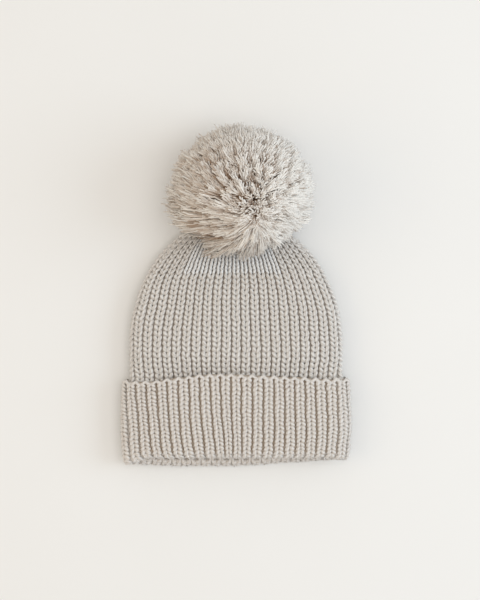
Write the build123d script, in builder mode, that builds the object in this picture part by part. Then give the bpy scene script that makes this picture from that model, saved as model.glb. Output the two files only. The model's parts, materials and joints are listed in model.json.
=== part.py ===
from build123d import *
import math
import os

# A knitted pom pom beanie lying flat: X across, +Y from the brim to the pom, +Z up.
# Every "from the brim" value is a distance along +Y from the folded brim edge, in mm.

# fabric
fabric = 4.5            # one layer of the chunky knit
layer_gap = 0.5         # air between two layers that slide on each other
part_gap = 0.3          # air between neighbouring pieces

# turned-up cuff
cuff_width = 200.0
cuff_height = 74.0      # from the folded brim to the cast-on edge
cuff_thickness = 28.0   # four layers and the air inside
edge_height = 6.0       # the cast-on rows, which carry the free edge
fold_round = 4.0

# crown
crown_under_cuff = 12.0  # how far the crown's stitch starts inside the cuff
swell_clear = 4.0       # the crown stays narrow this far past the cuff's edge
swell_length = 17.0     # then opens out over this stretch
crown_width = 187.0
crown_height = 24.0
side_length = 30.0      # cuff edge to where the sides begin to curve in
dome_depth = 110.6      # from there to the tip of the dome's ellipse
dome_cut = 2.6          # the dome is drawn in this far short of the ellipse's tip
top_band = 46.0         # length of the fine plain-knit band
top_height = 18.0
top_hole = 6.0          # radius left open by the gathering yarn

# back seam, on the inside of the layer that lies on the table
seam_width = 5.0
seam_height = 1.6
seam_clear = (6.0, 22.0)  # it stops this far from the brim and from the tip

# gathering yarn and pom tie
gather_yarn = 1.3       # radius
gather_ring = 6.8       # radius of the drawn-in ring
tie_beyond_top = 5.0    # the tie's loop stands this far in front of the tip
loop_radius = 2.6
tie_yarn = 1.0          # radius of each of the two plies
tie_spread = 1.1        # each ply's distance from the middle
knot_gap = 1.0          # air between the knot and the fabric above and below it
knot_back = 15.0        # from the loop back to the knot inside the hat
tail_length = 14.0
neck_radius = 2.0
neck_gap = 0.6          # air between the loop and the neck that turns about it

# pom
pom_size = (124.0, 108.0, 100.0)
pom_aside = 7.4         # the pom's middle lies this far to the right
pom_beyond_top = 25.0   # and this far past the tip
pom_flat = 4.0          # how much the ball is flattened on the table
pom_over_crown = 2.0    # air between the pom's underside and the crown
pom_before_top = 10.0   # air in front of the gathered tip
pom_about_loop = 18.0   # nothing of the pom is nearer the line it nods about
binding_ring = 7.0
binding_yarn = 1.5      # radius

crown_start = cuff_height - crown_under_cuff
swell_start = cuff_height + swell_clear
swell_end = swell_start + swell_length
dome_start = cuff_height + side_length
knot_radius = top_height / 2 - fabric - knot_gap
top_end = dome_start + dome_depth - dome_cut
top_start = top_end - top_band
total_length = top_end + pom_beyond_top + pom_size[1] / 2
brim_y = -total_length / 2
cuff_mid = cuff_thickness / 2
brim_width = cuff_width - 2 * (fabric + layer_gap)
brim_height = cuff_thickness - 2 * (fabric + layer_gap)
loop_middle = (0, brim_y + top_end + tie_beyond_top, top_height / 2)


def across(distance):
    """The plane across the hat at this distance from the brim, seen from the brim."""
    return Plane.XZ.offset(-(brim_y + distance))


def dome_width(distance):
    """Full width of the crown: straight sides, then half an ellipse."""
    rise = max(0.0, distance - dome_start) / dome_depth
    return crown_width * math.sqrt(1 - rise * rise)


def body_height(distance):
    """Height of the crown above the table, falling towards the gathered tip."""
    fall = max(0.0, distance - top_start) / (top_end - top_start)
    return crown_height + (top_height - crown_height) * fall


def body_section(distance):
    """Distance, width, height and mid height of the crown's outside."""
    height = body_height(distance)
    return distance, dome_width(distance), height, height / 2


def dome_stations(first, last, count):
    """Distances that crowd together as the dome closes."""
    low = math.asin((first - dome_start) / dome_depth)
    high = math.asin((last - dome_start) / dome_depth)
    return [dome_start + dome_depth * math.sin(low + (high - low) * i / count) for i in range(count + 1)]


def inside(section):
    """The inner face of a section, one fabric thickness in."""
    distance, width, height, middle = section
    return distance, width - 2 * fabric, height - 2 * fabric, middle


os.makedirs("parts", exist_ok=True)

# cuff: the outer layer, rolled over at the brim to meet the layer inside
cuff_length = cuff_height - edge_height - part_gap
with BuildPart() as cuff:
    with BuildSketch(across(0)):
        with Locations((0, cuff_mid)):
            SlotOverall(cuff_width, cuff_thickness)
    extrude(amount=-cuff_length)
    with BuildSketch(across(fabric)):
        with Locations((0, cuff_mid)):
            SlotOverall(cuff_width - 2 * fabric, cuff_thickness - 2 * fabric)
    extrude(amount=-cuff_length, mode=Mode.SUBTRACT)
    with BuildSketch(across(0)):
        with Locations((0, cuff_mid)):
            SlotOverall(brim_width - 2 * fabric, brim_height - 2 * fabric)
    extrude(amount=-fabric, mode=Mode.SUBTRACT)
    fillet(cuff.edges().group_by(Axis.Y)[0], radius=fold_round)
cuff.part.label = "cuff"
export_step(cuff.part, "parts/cuff.step")

# cast-on edge: the cuff's free edge, which leads when the cuff is turned down
with BuildPart() as cuff_edge:
    with BuildSketch(across(cuff_height - edge_height)):
        with Locations((0, cuff_mid)):
            SlotOverall(cuff_width, cuff_thickness)
            SlotOverall(cuff_width - 2 * fabric, cuff_thickness - 2 * fabric, mode=Mode.SUBTRACT)
    extrude(amount=-edge_height)
    fillet(cuff_edge.edges().group_by(Axis.Y)[-1], radius=fabric / 3)
cuff_edge.part.label = "cuff_edge"
export_step(cuff_edge.part, "parts/cuff_edge.step")

# brim: the rib layer under the cuff, next to the forehead
brim_start = fabric + part_gap
with BuildPart() as brim:
    with BuildSketch(across(brim_start)):
        with Locations((0, cuff_mid)):
            SlotOverall(brim_width, brim_height)
            SlotOverall(brim_width - 2 * fabric, brim_height - 2 * fabric, mode=Mode.SUBTRACT)
    extrude(amount=-(crown_start - part_gap - brim_start))
brim.part.label = "brim"
export_step(brim.part, "parts/brim.step")

# crown: leaves the cuff, opens out, then runs into the dome
crown_sections = [
    (crown_start, brim_width, brim_height, cuff_mid),
    (swell_start, brim_width, brim_height, cuff_mid),
    body_section(swell_end),
]
crown_sections += [body_section(d) for d in dome_stations(dome_start, top_start, 4)]
with BuildPart() as crown:
    for distance, width, height, middle in crown_sections:
        with BuildSketch(across(distance)):
            with Locations((0, middle)):
                SlotOverall(width, height)
    loft(ruled=True)
    for distance, width, height, middle in map(inside, crown_sections):
        with BuildSketch(across(distance)):
            with Locations((0, middle)):
                SlotOverall(width, height)
    loft(ruled=True, mode=Mode.SUBTRACT)
crown.part.label = "crown"
export_step(crown.part, "parts/crown.step")

# gathered top: the fine band that closes the dome, with the drawn-in hole at its tip
top_sections = [body_section(d) for d in dome_stations(top_start + part_gap, top_end, 5)]
hollow_sections = [body_section(d) for d in dome_stations(top_start + part_gap, top_end - fabric, 4)]
with BuildPart() as gathered_top:
    for distance, width, height, middle in top_sections:
        with BuildSketch(across(distance)):
            with Locations((0, middle)):
                SlotOverall(width, height)
    loft(ruled=True)
    for distance, width, height, middle in map(inside, hollow_sections):
        with BuildSketch(across(distance)):
            with Locations((0, middle)):
                SlotOverall(width, height)
    loft(ruled=True, mode=Mode.SUBTRACT)
    with BuildSketch(across(top_end - 2 * fabric)):
        with Locations((0, top_height / 2)):
            Circle(top_hole)
    extrude(amount=-3 * fabric, mode=Mode.SUBTRACT)
gathered_top.part.label = "gathered_top"
export_step(gathered_top.part, "parts/gathered_top.step")

# gathering yarn: a ring round the hole at the tip
with BuildPart() as gather_ring_part:
    with Locations(Location((0, brim_y + top_end + gather_yarn + part_gap, top_height / 2), (90, 0, 0))):
        Torus(gather_ring, gather_yarn)
gather_ring_part.part.label = "gather_yarn"
export_step(gather_ring_part.part, "parts/gather_yarn.step")

# back seam: a flat ridge that follows the inside of the lower layer
brim_floor = cuff_mid - brim_height / 2 + fabric + part_gap
crown_floor = fabric + part_gap
seam_path = [
    (seam_clear[0], brim_floor),
    (swell_start, brim_floor),
    (swell_end, crown_floor),
    (top_end - seam_clear[1], crown_floor),
]
seam_outline = [(brim_y + d, z) for d, z in seam_path]
seam_outline += [(brim_y + d, z + seam_height) for d, z in reversed(seam_path)]
with BuildPart() as back_seam:
    with BuildSketch(Plane.YZ.offset(-seam_width / 2)):
        with BuildLine():
            Polyline(*seam_outline, close=True)
        make_face()
    extrude(amount=seam_width)
back_seam.part.label = "back_seam"
export_step(back_seam.part, "parts/back_seam.step")

# tie loop: the pom's tie where it passes through the tip, with its two plies running inside
loop_y = loop_middle[1]
with BuildPart() as tie_loop:
    with Locations(loop_middle):
        Sphere(loop_radius)
    with BuildSketch(Plane.XZ.offset(-loop_y)):
        with Locations((-tie_spread, loop_middle[2]), (tie_spread, loop_middle[2])):
            Circle(tie_yarn)
    extrude(amount=knot_back - knot_radius)
tie_loop.part.label = "tie_loop"
export_step(tie_loop.part, "parts/tie_loop.step")

# inner knot: what stops the tie from pulling back through the tip
knot_y = loop_y - knot_back - part_gap
with BuildPart() as inner_knot:
    with Locations((0, knot_y, loop_middle[2])):
        Sphere(knot_radius)
inner_knot.part.label = "inner_knot"
export_step(inner_knot.part, "parts/inner_knot.step")

# tie tails: the two cut ends behind the knot
tail_y = knot_y - knot_radius - part_gap
with BuildPart() as tie_tails:
    with BuildSketch(Plane.XZ.offset(-tail_y)):
        with Locations((-tie_spread, loop_middle[2]), (tie_spread, loop_middle[2])):
            Circle(tie_yarn)
    extrude(amount=tail_length)
tie_tails.part.label = "tie_tails"
export_step(tie_tails.part, "parts/tie_tails.step")

# pom: its tie runs from the loop to the binding round its waist
pom_centre = Vector(pom_aside, brim_y + top_end + pom_beyond_top, pom_size[2] / 2 - pom_flat)
neck_way = pom_centre - Vector(*loop_middle)
neck_start = loop_radius + neck_gap
neck_end = neck_way.length - binding_ring - binding_yarn - part_gap
neck_plane = Plane(origin=Vector(*loop_middle), x_dir=(1, 0, -neck_way.X / neck_way.Z), z_dir=neck_way)
binding_plane = Plane(origin=pom_centre, x_dir=neck_way, z_dir=neck_plane.x_dir)

with BuildPart() as tie_neck:
    with BuildSketch(neck_plane.offset(neck_start)):
        Circle(neck_radius)
    extrude(amount=neck_end - neck_start)
tie_neck.part.label = "tie_neck"
export_step(tie_neck.part, "parts/tie_neck.step")

with BuildPart() as pom_binding:
    with Locations(binding_plane.location):
        Torus(binding_ring, binding_yarn)
pom_binding.part.label = "pom_binding"
export_step(pom_binding.part, "parts/pom_binding.step")

# the ball of cut strands: an ellipsoid, flat where it lies, cleared over the crown's tip
pom_scale = (pom_size[0] / pom_size[2], pom_size[1] / pom_size[2], 1)
pom_ball = Pos(*pom_centre) * scale(Sphere(pom_size[2] / 2), by=pom_scale)
notch_length = pom_size[1]
notch_y = brim_y + top_end + pom_before_top - notch_length / 2
notch_z = crown_height + pom_over_crown
with BuildPart() as pom_strands:
    add(pom_ball)
    with Locations((0, notch_y, 0)):
        Box(2 * pom_size[0], notch_length, 2 * notch_z, mode=Mode.SUBTRACT)
    with Locations((0, pom_centre.Y, -pom_size[2] / 2)):
        Box(2 * pom_size[0], 2 * pom_size[1], pom_size[2], mode=Mode.SUBTRACT)
    with BuildSketch(Plane.YZ):
        with Locations((loop_middle[1], loop_middle[2])):
            Circle(pom_about_loop)
    extrude(amount=pom_size[0], both=True, mode=Mode.SUBTRACT)
    with BuildSketch(neck_plane):
        Circle(neck_radius + part_gap)
    extrude(amount=neck_way.length - binding_ring, mode=Mode.SUBTRACT)
    with Locations(binding_plane.location):
        Torus(binding_ring, binding_yarn + part_gap, mode=Mode.SUBTRACT)
pom_strands.part.label = "pom_strands"
export_step(pom_strands.part, "parts/pom_strands.step")
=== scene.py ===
import json
import math

import bpy
import numpy as np
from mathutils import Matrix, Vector

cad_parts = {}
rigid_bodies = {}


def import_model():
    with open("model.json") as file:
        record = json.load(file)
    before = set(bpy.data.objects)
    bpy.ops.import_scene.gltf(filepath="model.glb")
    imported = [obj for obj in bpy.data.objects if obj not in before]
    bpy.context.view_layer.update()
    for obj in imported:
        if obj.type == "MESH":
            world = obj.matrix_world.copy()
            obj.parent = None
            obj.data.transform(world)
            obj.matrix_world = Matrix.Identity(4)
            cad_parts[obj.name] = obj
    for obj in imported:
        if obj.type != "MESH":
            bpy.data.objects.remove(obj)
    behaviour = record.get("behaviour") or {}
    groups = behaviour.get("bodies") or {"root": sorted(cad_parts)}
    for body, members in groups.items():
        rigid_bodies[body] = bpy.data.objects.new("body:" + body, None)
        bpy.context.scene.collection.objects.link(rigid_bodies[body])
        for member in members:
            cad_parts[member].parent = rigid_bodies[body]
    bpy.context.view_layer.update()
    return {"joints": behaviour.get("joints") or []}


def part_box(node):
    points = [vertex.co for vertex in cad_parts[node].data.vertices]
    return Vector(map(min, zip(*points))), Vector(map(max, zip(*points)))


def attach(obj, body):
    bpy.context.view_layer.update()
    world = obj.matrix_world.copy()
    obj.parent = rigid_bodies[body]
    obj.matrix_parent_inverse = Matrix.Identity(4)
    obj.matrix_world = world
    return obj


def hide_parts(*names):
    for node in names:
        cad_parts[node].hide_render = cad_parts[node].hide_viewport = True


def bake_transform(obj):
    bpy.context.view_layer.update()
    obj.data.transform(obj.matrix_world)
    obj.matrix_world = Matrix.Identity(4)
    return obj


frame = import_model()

mm = 0.001
scene = bpy.context.scene


# small helpers

def smoothStep(low, high, x):
    t = np.clip((x - low) / (high - low), 0.0, 1.0)
    return t * t * (3.0 - 2.0 * t)


def bump(middle, width, x):
    return np.exp(-((x - middle) / width) ** 2)


def splineThrough(points, count):
    # points on a Catmull-Rom curve, evenly spread by length; values past the third ride along
    between = 24
    pts = np.asarray(points, float)
    pts = np.vstack([2 * pts[0] - pts[1], pts, 2 * pts[-1] - pts[-2]])
    fine = []
    for i in range(1, len(pts) - 2):
        t = np.linspace(0, 1, between, endpoint=False)[:, None]
        a, b, c, d = pts[i - 1], pts[i], pts[i + 1], pts[i + 2]
        fine.append(0.5 * (2 * b + (c - a) * t + (2 * a - 5 * b + 4 * c - d) * t ** 2
                           + (3 * b - a - 3 * c + d) * t ** 3))
    fine = np.vstack(fine + [pts[-2][None]])
    steps = np.r_[0, np.cumsum(np.linalg.norm(np.diff(fine[:, :3], axis=0), axis=1))]
    want = np.linspace(0, steps[-1], count)
    return np.stack([np.interp(want, steps, column) for column in fine.T], axis=1)


class Wobble:
    # smooth unevenness: a few seeded sine waves over two directions

    def __init__(self, seed, waves, lengthX, lengthY, spread=(0.6, 1.4)):
        rng = np.random.default_rng(seed)
        turn = rng.uniform(0, 2 * math.pi, waves)
        self.across = np.cos(turn) * rng.uniform(*spread, waves) / lengthX
        self.along = np.sin(turn) * rng.uniform(*spread, waves) / lengthY
        self.phase = rng.uniform(0, 2 * math.pi, waves)

    def at(self, x, y):
        total = 0
        for a, b, p in zip(self.across, self.along, self.phase):
            total = total + np.sin(2 * math.pi * (a * x + b * y) + p)
        return total / math.sqrt(len(self.phase))


def linkPiece(name, mesh, body, nodes=(), slot=None):
    piece = bpy.data.objects.new(name, mesh)
    scene.collection.objects.link(piece)
    if body:
        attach(piece, body)
    if nodes:
        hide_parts(*nodes)
    return piece


# node trees: sockets are reached by name here, and by identifier when a modifier is set

def newGeometryTree(name, inputs):
    tree = bpy.data.node_groups.new(name, "GeometryNodeTree")
    tree.interface.new_socket("Geometry", in_out="INPUT", socket_type="NodeSocketGeometry")
    for label, kind, value in inputs:
        socket = tree.interface.new_socket(label, in_out="INPUT", socket_type="NodeSocket" + kind)
        if value is not None:
            socket.default_value = value
    tree.interface.new_socket("Geometry", in_out="OUTPUT", socket_type="NodeSocketGeometry")
    return tree, tree.nodes.new("NodeGroupInput"), tree.nodes.new("NodeGroupOutput")


def endTree(tree, geometry, start, end):
    # every tree ends alike: real geometry in one material
    node, link = tree.nodes.new, tree.links.new
    real = node("GeometryNodeRealizeInstances")
    finish = node("GeometryNodeSetMaterial")
    link(geometry, real.inputs["Geometry"])
    link(real.outputs["Geometry"], finish.inputs["Geometry"])
    link(start.outputs["Yarn"], finish.inputs["Material"])
    link(finish.outputs["Geometry"], end.inputs["Geometry"])


def runTree(tree, source, settings):
    # the tree's result as a plain mesh; the carrier object is thrown away
    carrier = bpy.data.objects.new("carrier", source)
    scene.collection.objects.link(carrier)
    modifier = carrier.modifiers.new("tree", "NODES")
    modifier.node_group = tree
    for item in tree.interface.items_tree:
        if item.item_type == "SOCKET" and item.in_out == "INPUT" and item.name in settings:
            modifier[item.identifier] = settings[item.name]
    carrier.update_tag()
    graph = bpy.context.evaluated_depsgraph_get()
    mesh = bpy.data.meshes.new_from_object(carrier.evaluated_get(graph), depsgraph=graph)
    bpy.data.objects.remove(carrier)
    return mesh


def sweepTree():
    # yarn: a round section carried along every edge path, thinned by the "thick" attribute
    tree, start, end = newGeometryTree("sweepYarn", [
        ("Radius", "Float", 1.0), ("Sides", "Int", 6), ("Caps", "Bool", False),
        ("Yarn", "Material", None)])
    node, link = tree.nodes.new, tree.links.new
    toCurve = node("GeometryNodeMeshToCurve")
    upright = node("GeometryNodeSetCurveNormal")
    upright.mode = "Z_UP"
    thick = node("GeometryNodeInputNamedAttribute")
    thick.data_type = "FLOAT"
    thick.inputs["Name"].default_value = "thick"
    setRadius = node("GeometryNodeSetCurveRadius")
    section = node("GeometryNodeCurvePrimitiveCircle")
    sweep = node("GeometryNodeCurveToMesh")
    link(start.outputs["Geometry"], toCurve.inputs["Mesh"])
    link(toCurve.outputs["Curve"], upright.inputs["Curve"])
    link(upright.outputs["Curve"], setRadius.inputs["Curve"])
    link(thick.outputs["Attribute"], setRadius.inputs["Radius"])
    link(start.outputs["Radius"], section.inputs["Radius"])
    link(start.outputs["Sides"], section.inputs["Resolution"])
    link(setRadius.outputs["Curve"], sweep.inputs["Curve"])
    link(section.outputs["Curve"], sweep.inputs["Profile Curve"])
    link(start.outputs["Caps"], sweep.inputs["Fill Caps"])
    endTree(tree, sweep.outputs["Mesh"], start, end)
    return tree


def fieldTree():
    # knitting: one stitch set at every place of a wale by row grid
    tree, start, end = newGeometryTree("knitField", [
        ("Stitch", "Object", None), ("Wales", "Int", 4), ("Rows", "Int", 4),
        ("Wale Pitch", "Float", 1.0), ("Row Pitch", "Float", 1.0), ("Yarn", "Material", None)])
    node, link = tree.nodes.new, tree.links.new
    grid = node("GeometryNodeMeshGrid")
    for count, pitch, size, corners in (("Wales", "Wale Pitch", "Size X", "Vertices X"),
                                        ("Rows", "Row Pitch", "Size Y", "Vertices Y")):
        less = node("ShaderNodeMath")
        less.operation = "SUBTRACT"
        less.inputs[1].default_value = 1
        span = node("ShaderNodeMath")
        span.operation = "MULTIPLY"
        link(start.outputs[count], less.inputs[0])
        link(less.outputs[0], span.inputs[0])
        link(start.outputs[pitch], span.inputs[1])
        link(span.outputs[0], grid.inputs[size])
        link(start.outputs[count], grid.inputs[corners])
    info = node("GeometryNodeObjectInfo")
    place = node("GeometryNodeInstanceOnPoints")
    link(start.outputs["Stitch"], info.inputs["Object"])
    link(grid.outputs["Mesh"], place.inputs["Points"])
    link(info.outputs["Geometry"], place.inputs["Instance"])
    endTree(tree, place.outputs["Instances"], start, end)
    return tree


def pathMesh(paths, extra=None):
    # edge paths for the sweep, all of one length; extra attributes ride along with the points
    paths = np.asarray(paths, float)
    count, length = paths.shape[:2]
    index = np.arange(count * length).reshape(count, length)
    edges = np.stack([index[:, :-1], index[:, 1:]], axis=2).reshape(-1, 2)
    mesh = bpy.data.meshes.new("paths")
    mesh.from_pydata(paths.reshape(-1, 3).tolist(), edges.tolist(), [])
    values = {"thick": np.ones(count * length)}
    values.update(extra or {})
    for label, value in values.items():
        attribute = mesh.attributes.new(label, "FLOAT", "POINT")
        attribute.data.foreach_set("value", np.asarray(value, np.float32).ravel())
    return mesh


sweepYarn = sweepTree()
knitField = fieldTree()


# materials

spun = dict(
    fibreAlong=1.2,         # the fibre pattern is stretched along the plies
    fibreAcross=7.0,
    fibreScale=1.6,
    fibreDetail=3.0,
    mottleScale=120.0,
    mottleDetail=4.0,
    plyHeight=0.7,          # shares of the relief
    fibreHeight=0.6,
    relief=0.0004,          # metres
    shine=0.15,
    sheenRoughness=0.5,
    sheenTint=(1.0, 0.97, 0.93, 1),
)


def yarnGroup():
    # spun yarn: plies winding round, loose fibres along them, uneven dye, and painted shade down in the
    # gaps of the fabric and in the grooves between the plies
    tree = bpy.data.node_groups.new("spunYarn", "ShaderNodeTree")
    face = tree.interface
    for label, kind, value in (
            ("Light", "Color", (0.7, 0.64, 0.57, 1)), ("Dark", "Color", (0.3, 0.2, 0.12, 1)),
            ("Plies", "Float", 3.0), ("Twist", "Float", 0.5), ("Fibre", "Float", 0.3),
            ("Mottle", "Float", 0.12), ("Shade", "Float", 0.95), ("Groove", "Float", 0.36)):
        face.new_socket(label, in_out="INPUT", socket_type="NodeSocket" + kind).default_value = value
    face.new_socket("Color", in_out="OUTPUT", socket_type="NodeSocketColor")
    face.new_socket("Height", in_out="OUTPUT", socket_type="NodeSocketFloat")
    node, link = tree.nodes.new, tree.links.new
    start, end = node("NodeGroupInput"), node("NodeGroupOutput")

    def maths(operation, a, b=None, clamp=False):
        m = node("ShaderNodeMath")
        m.operation = operation
        m.use_clamp = clamp
        for i, v in enumerate((a, b)):
            if v is None:
                continue
            if isinstance(v, (int, float)):
                m.inputs[i].default_value = v
            else:
                link(v, m.inputs[i])
        return m.outputs[0]

    def noise(scale, detail, vector):
        n = node("ShaderNodeTexNoise")
        n.inputs["Scale"].default_value = scale
        n.inputs["Detail"].default_value = detail
        link(vector, n.inputs["Vector"])
        return n.outputs[0]

    uv = node("ShaderNodeUVMap")
    uv.uv_map = "yarn"
    split = node("ShaderNodeSeparateXYZ")
    link(uv.outputs["UV"], split.inputs[0])
    along, around = split.outputs[0], split.outputs[1]
    turned = maths("ADD", maths("MULTIPLY", along, start.outputs["Twist"]),
                   maths("MULTIPLY", around, start.outputs["Plies"]))
    ply = maths("ABSOLUTE", maths("SINE", maths("MULTIPLY", turned, math.pi)))
    lay = node("ShaderNodeCombineXYZ")
    link(maths("MULTIPLY", along, spun["fibreAlong"]), lay.inputs[0])
    link(maths("MULTIPLY", turned, spun["fibreAcross"]), lay.inputs[1])
    fibre = noise(spun["fibreScale"], spun["fibreDetail"], lay.outputs[0])
    place = node("ShaderNodeTexCoord")
    mottle = noise(spun["mottleScale"], spun["mottleDetail"], place.outputs["Object"])
    # the depth attribute carries the painted shade share from each piece
    depth = node("ShaderNodeAttribute")
    depth.attribute_name = "depth"

    # painted shade: down in the fabric from the depth attribute, and in the grooves between the plies
    shade = maths("MULTIPLY", depth.outputs["Fac"], start.outputs["Shade"])
    grooveShade = maths("MULTIPLY", maths("SUBTRACT", 1.0, ply), start.outputs["Groove"])
    uneven = maths("MULTIPLY", maths("SUBTRACT", mottle, 0.5), start.outputs["Mottle"])
    strand = maths("MULTIPLY", maths("SUBTRACT", fibre, 0.5), start.outputs["Fibre"])
    total = maths("ADD", maths("ADD", shade, grooveShade), maths("ADD", uneven, strand), clamp=True)
    tone = node("ShaderNodeMix")
    tone.data_type = "RGBA"
    link(total, tone.inputs["Factor"])
    link(start.outputs["Light"], tone.inputs["A"])
    link(start.outputs["Dark"], tone.inputs["B"])
    link(tone.outputs["Result"], end.inputs["Color"])
    height = maths("ADD", maths("MULTIPLY", ply, spun["plyHeight"]),
                   maths("MULTIPLY", fibre, spun["fibreHeight"]))
    link(height, end.inputs["Height"])
    return tree


def grainGroup():
    # a fine even noise between two tones
    tree = bpy.data.node_groups.new("grain", "ShaderNodeTree")
    for label, kind in (("Deep", "Color"), ("Pale", "Color"), ("Scale", "Float")):
        tree.interface.new_socket(label, in_out="INPUT", socket_type="NodeSocket" + kind)
    tree.interface.new_socket("Color", in_out="OUTPUT", socket_type="NodeSocketColor")
    node, link = tree.nodes.new, tree.links.new
    start, end = node("NodeGroupInput"), node("NodeGroupOutput")
    place = node("ShaderNodeTexCoord")
    noise = node("ShaderNodeTexNoise")
    tone = node("ShaderNodeMix")
    tone.data_type = "RGBA"
    link(place.outputs["Object"], noise.inputs["Vector"])
    link(start.outputs["Scale"], noise.inputs["Scale"])
    link(noise.outputs[0], tone.inputs["Factor"])
    link(start.outputs["Deep"], tone.inputs["A"])
    link(start.outputs["Pale"], tone.inputs["B"])
    link(tone.outputs["Result"], end.inputs["Color"])
    return tree


spunYarn = yarnGroup()
grain = grainGroup()


def groupMaterial(name, group, values, roughness, shine):
    # a new material that takes its colour from a node group
    material = bpy.data.materials.new(name)
    material.use_nodes = True
    tree = material.node_tree
    shader = tree.nodes["Principled BSDF"]
    pattern = tree.nodes.new("ShaderNodeGroup")
    pattern.name = "pattern"
    pattern.node_tree = group
    for label, value in values.items():
        pattern.inputs[label].default_value = value
    tree.links.new(pattern.outputs["Color"], shader.inputs["Base Color"])
    shader.inputs["Roughness"].default_value = roughness
    shader.inputs["Specular IOR Level"].default_value = shine
    return material


def yarnMaterial(name, values, strength=0.35, roughness=0.92, sheen=0.25):
    material = groupMaterial(name, spunYarn, values, roughness, spun["shine"])
    tree = material.node_tree
    shader = tree.nodes["Principled BSDF"]
    relief = tree.nodes.new("ShaderNodeBump")
    relief.inputs["Strength"].default_value = strength
    relief.inputs["Distance"].default_value = spun["relief"]
    tree.links.new(tree.nodes["pattern"].outputs["Height"], relief.inputs["Height"])
    tree.links.new(relief.outputs["Normal"], shader.inputs["Normal"])
    shader.inputs["Sheen Weight"].default_value = sheen
    shader.inputs["Sheen Roughness"].default_value = spun["sheenRoughness"]
    shader.inputs["Sheen Tint"].default_value = spun["sheenTint"]
    return material


def grainMaterial(name, look):
    values = {"Deep": look["deep"], "Pale": look["pale"], "Scale": look["grain"]}
    return groupMaterial(name, grain, values, look["roughness"], look["shine"])


# Light is the yarn's own colour; Dark is the colour of the painted shade, and of the uneven dye and loose
# fibres
ribYarn = yarnMaterial("ribYarn", {
    "Light": (0.725, 0.70, 0.68, 1), "Dark": (0.42, 0.31, 0.21, 1), "Plies": 3.0, "Twist": 0.55})
crownYarn = yarnMaterial("crownYarn", {
    "Light": (0.73, 0.708, 0.685, 1), "Dark": (0.26, 0.175, 0.11, 1), "Plies": 3.0, "Twist": 0.5,
    "Shade": 1.05})
fineYarn = yarnMaterial("fineYarn", {
    "Light": (0.815, 0.81, 0.81, 1), "Dark": (0.45, 0.415, 0.38, 1), "Plies": 2.0, "Twist": 0.5})
tieYarn = yarnMaterial("tieYarn", {
    "Light": (0.72, 0.66, 0.59, 1), "Dark": (0.35, 0.24, 0.15, 1), "Plies": 2.0, "Twist": 0.6})
print("materials and node trees ready")


# the hat's form: distances run from the folded brim towards the pom, all in mm

cuffLow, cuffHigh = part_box("cuff")
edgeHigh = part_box("cuff_edge")[1]
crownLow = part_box("crown")[0]
topLow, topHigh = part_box("gathered_top")
brimY = cuffLow.y / mm

hat = dict(
    wales=44,                                   # rib columns round the hat
    cuffHalf=(cuffHigh.x - cuffLow.x) / 2 / mm,
    cuffThick=31.0,                             # soft knit stands a little proud of its solid
    cuffHeight=edgeHigh.y / mm - brimY,
    crownStart=crownLow.y / mm - brimY,
    crownHalf=93.5,
    crownThick=27.0,
    domeStart=104.0,
    domeDepth=110.6,
    domeClosed=0.9995,                          # share of the dome's depth where it stops
    topStart=topLow.y / mm - brimY,
    topEnd=topHigh.y / mm - brimY,
    tipThick=18.0,
    tipSlope=20.0,                              # the crown starts to thin this far before the top
    tuck=7.0,                                   # inside the cuff the crown lies this far below it
    swellFrom=-4.0,                             # and rises from there between these two distances
    swellTo=22.0,                               # past the cuff's free edge
    pastTip=3.0,                                # the tip still carries strands this far beyond it
    lift=0.9,                                   # unevenness of the faces
    thinnest=3.0,
    squareness=2.5,                             # section: 2 is an ellipse, more is boxier
)


def power(value, exponent):
    return np.sign(value) * np.abs(value) ** exponent


class Section:
    # turns a share of the way round the hat into an angle, for any flatness of the section

    def __init__(self, squareness):
        self.exponent = 2.0 / squareness
        self.flattest = 0.04
        self.ratios = np.linspace(self.flattest, 1.0, 33)
        self.steps = np.linspace(0, 1, 1441)
        angle = np.linspace(-math.pi / 2, 1.5 * math.pi, 6001)
        self.table = []
        for ratio in self.ratios:
            x = power(np.cos(angle), self.exponent)
            z = ratio * power(np.sin(angle), self.exponent)
            way = np.r_[0, np.cumsum(np.hypot(np.diff(x), np.diff(z)))]
            self.table.append(np.interp(self.steps, way / way[-1], angle))
        self.table = np.array(self.table)

    def point(self, u, halfWide, halfHigh):
        ratio = np.clip(halfHigh / halfWide, self.flattest, 1.0)
        row = (ratio - self.flattest) / (1.0 - self.flattest) * (len(self.ratios) - 1)
        rowLow = np.clip(row.astype(int), 0, len(self.ratios) - 2)
        step = (u % 1.0) * (len(self.steps) - 1)
        stepLow = np.clip(step.astype(int), 0, len(self.steps) - 2)
        rowShare, stepShare = row - rowLow, step - stepLow
        low = (self.table[rowLow, stepLow] * (1 - stepShare)
               + self.table[rowLow, stepLow + 1] * stepShare)
        high = (self.table[rowLow + 1, stepLow] * (1 - stepShare)
                + self.table[rowLow + 1, stepLow + 1] * stepShare)
        angle = low * (1 - rowShare) + high * rowShare
        return (halfWide * power(np.cos(angle), self.exponent),
                halfHigh * power(np.sin(angle), self.exponent))


section = Section(hat["squareness"])
softLift = Wobble(3, 7, 0.22, 46.0)
waleDrift = Wobble(5, 6, 0.16, 50.0)
rowDrift = Wobble(8, 6, 0.15, 60.0)


def frontShare(place):
    # one on the face that looks up, nought underneath; place is a share of the way round
    return smoothStep(0.24, 0.30, place) * smoothStep(0.76, 0.70, place)


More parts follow.
